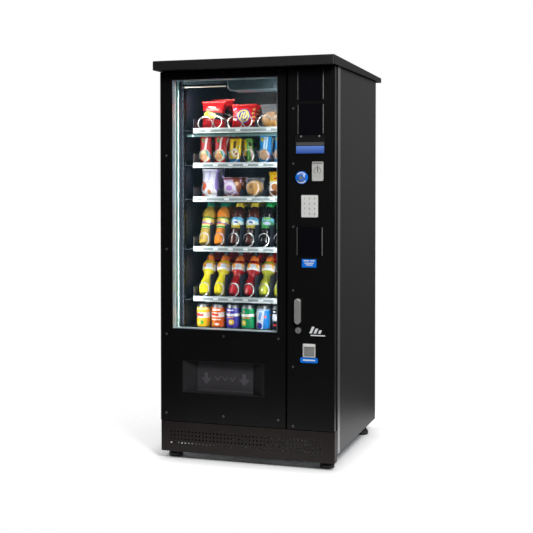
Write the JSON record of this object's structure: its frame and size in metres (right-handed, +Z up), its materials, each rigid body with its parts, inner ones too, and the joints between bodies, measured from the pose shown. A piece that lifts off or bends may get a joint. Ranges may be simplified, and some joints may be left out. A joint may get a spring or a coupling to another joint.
{
  "type": "snack vending machine",
  "caption": "Free-standing refrigerated vending machine with a glazed product door, sliding spiral trays, a payment door and a delivery flap.",
  "frame": {"origin": "on the floor, below the middle of the roof", "axes": "+Z up, the doors face -Y, +X to the right as seen from the front"},
  "size_m": [0.856, 0.988, 1.83],
  "materials": {
    "door_enamel": "satin",
    "cabinet_enamel": "satin",
    "roof_enamel": "matte",
    "kick_enamel": "matte",
    "trim_steel": "satin",
    "galvanised_steel": "satin",
    "liner_enamel": "satin",
    "breaker_plastic": "satin",
    "black_rubber": "matte",
    "foot_plastic": "satin",
    "black_plastic": "satin",
    "hatch_plastic": "satin",
    "flap_plastic": "satin",
    "window_glass": "gloss",
    "bezel_aluminium": "satin",
    "spacer_aluminium": "satin",
    "tray_enamel": "satin",
    "spiral_wire": "polished",
    "can_print": "gloss",
    "lamp_glass": "satin",
    "duct_plastic": "satin",
    "shelf_glass": "gloss",
    "compressor_enamel": "gloss",
    "fin_aluminium": "satin",
    "panel_enamel": "satin",
    "display_glass": "gloss",
    "plate_steel": "satin",
    "ring_plastic": "satin",
    "keypad_metal": "satin",
    "handle_metal": "satin",
    "lock_chrome": "polished",
    "screw_steel": "satin"
  },
  "bodies": {
    "cabinet": {"base_pan": "galvanised_steel", "levelling_feet": "foot_plastic", "kick_plate": "kick_enamel", "cabinet_wrapper": "cabinet_enamel", "front_frame": "door_enamel", "inner_liner": "liner_enamel", "breaker_frame": "breaker_plastic", "corner_trims": "trim_steel", "roof_cover": "roof_enamel", "back_grille": "cabinet_enamel", "power_inlet": "black_plastic", "hinge_pins": "galvanised_steel", "tray_rails": "galvanised_steel", "divider_shelf": "shelf_glass", "top_light": "lamp_glass", "duct_cover": "duct_plastic", "delivery_bin": "galvanised_steel", "compressor": "compressor_enamel", "condenser": "fin_aluminium", "fan_motor": "black_plastic", "coin_mechanism": "black_plastic"},
    "condenser_fan": {"condenser_fan": "black_plastic"},
    "product_door": {"product_door_skin": "door_enamel", "product_door_pan": "door_enamel", "product_door_gasket": "black_rubber", "window_bezel": "bezel_aluminium", "window_glass": "window_glass", "glass_spacer": "spacer_aluminium", "delivery_hatch": "hatch_plastic", "product_door_screws": "screw_steel"},
    "delivery_flap": {"delivery_flap": "flap_plastic"},
    "payment_door": {"payment_door_skin": "door_enamel", "payment_door_pan": "door_enamel", "blank_panels": "panel_enamel", "display_bezel": "black_plastic", "display_window": "display_glass", "coin_plate": "plate_steel", "button_ring": "ring_plastic", "keypad": "keypad_metal", "lock_plates": "lock_chrome", "coin_cup": "plate_steel", "payment_door_screws": "screw_steel"},
    "coin_return_button": {"coin_return_button": "lock_chrome"},
    "handle": {"handle": "handle_metal"},
    "key_plug": {"key_plug": "lock_chrome"},
    "coin_cup_flap": {"coin_cup_flap": "plate_steel"},
    "tray_1": {"tray_1": "tray_enamel", "spirals_1": "spiral_wire"},
    "tray_2": {"tray_2": "tray_enamel", "spirals_2": "spiral_wire"},
    "tray_3": {"tray_3": "tray_enamel", "spirals_3": "spiral_wire"},
    "tray_4": {"tray_4": "tray_enamel", "spirals_4": "spiral_wire"},
    "tray_5": {"tray_5": "tray_enamel", "spirals_5": "spiral_wire"},
    "tray_6": {"tray_6": "tray_enamel", "spirals_6": "spiral_wire"},
    "vend_spiral": {"vend_spiral": "spiral_wire"},
    "vend_cans": {"vend_cans": "can_print"}
  },
  "joints": [
    {"name": "product_door_hinge", "type": "hinge", "parent": "cabinet", "child": "product_door", "pos_m": [-0.404, -0.422, 0.98], "axis": [0, 0, -1], "range_deg": [0, 100]},
    {"name": "payment_door_hinge", "type": "hinge", "parent": "cabinet", "child": "payment_door", "pos_m": [0.404, -0.422, 0.98], "axis": [0, 0, 1], "range_deg": [0, 100]},
    {"name": "delivery_flap_hinge", "type": "hinge", "parent": "product_door", "child": "delivery_flap", "pos_m": [-0.1075, -0.401, 0.447], "axis": [1, 0, 0], "range_deg": [0, 70], "stiffness_Nm_per_rad": 0.4},
    {"name": "coin_cup_flap_hinge", "type": "hinge", "parent": "payment_door", "child": "coin_cup_flap", "pos_m": [0.3, -0.4352, 0.5515], "axis": [1, 0, 0], "range_deg": [0, 60], "stiffness_Nm_per_rad": 0.004},
    {"name": "handle_turn", "type": "hinge", "parent": "payment_door", "child": "handle", "pos_m": [0.2495, -0.436, 0.744], "axis": [0, -1, 0], "range_deg": [0, 90]},
    {"name": "key_turn", "type": "hinge", "parent": "payment_door", "child": "key_plug", "pos_m": [0.25, -0.436, 0.619], "axis": [0, -1, 0], "range_deg": [0, 90]},
    {"name": "coin_return_press", "type": "slide", "parent": "payment_door", "child": "coin_return_button", "axis": [0, 1, 0], "range_m": [0, 0.004], "stiffness_N_per_m": 400},
    {"name": "fan_spin", "type": "hinge", "parent": "cabinet", "child": "condenser_fan", "pos_m": [0, -0.304, 0.168], "axis": [0, 1, 0], "continuous": true},
    {"name": "tray_1_slide", "type": "slide", "parent": "cabinet", "child": "tray_1", "axis": [0, -1, 0], "range_m": [0, 0.09]},
    {"name": "tray_2_slide", "type": "slide", "parent": "cabinet", "child": "tray_2", "axis": [0, -1, 0], "range_m": [0, 0.09]},
    {"name": "tray_3_slide", "type": "slide", "parent": "cabinet", "child": "tray_3", "axis": [0, -1, 0], "range_m": [0, 0.09]},
    {"name": "tray_4_slide", "type": "slide", "parent": "cabinet", "child": "tray_4", "axis": [0, -1, 0], "range_m": [0, 0.09]},
    {"name": "tray_5_slide", "type": "slide", "parent": "cabinet", "child": "tray_5", "axis": [0, -1, 0], "range_m": [0, 0.09]},
    {"name": "tray_6_slide", "type": "slide", "parent": "cabinet", "child": "tray_6", "axis": [0, -1, 0], "range_m": [0, 0.09]},
    {"name": "vend_spiral_turn", "type": "hinge", "parent": "tray_6", "child": "vend_spiral", "pos_m": [-0.1305, -0.036, 0.5907], "axis": [0, -1, 0], "range_deg": [0, 360]},
    {"name": "vend_cans_advance", "type": "slide", "parent": "tray_6", "child": "vend_cans", "axis": [0, -1, 0], "range_m": [0, 0.0751]}
  ],
  "couplings": [
    {"joint": "vend_cans_advance", "follows": "vend_spiral_turn", "m_per_rad": 0.011937}
  ]
}
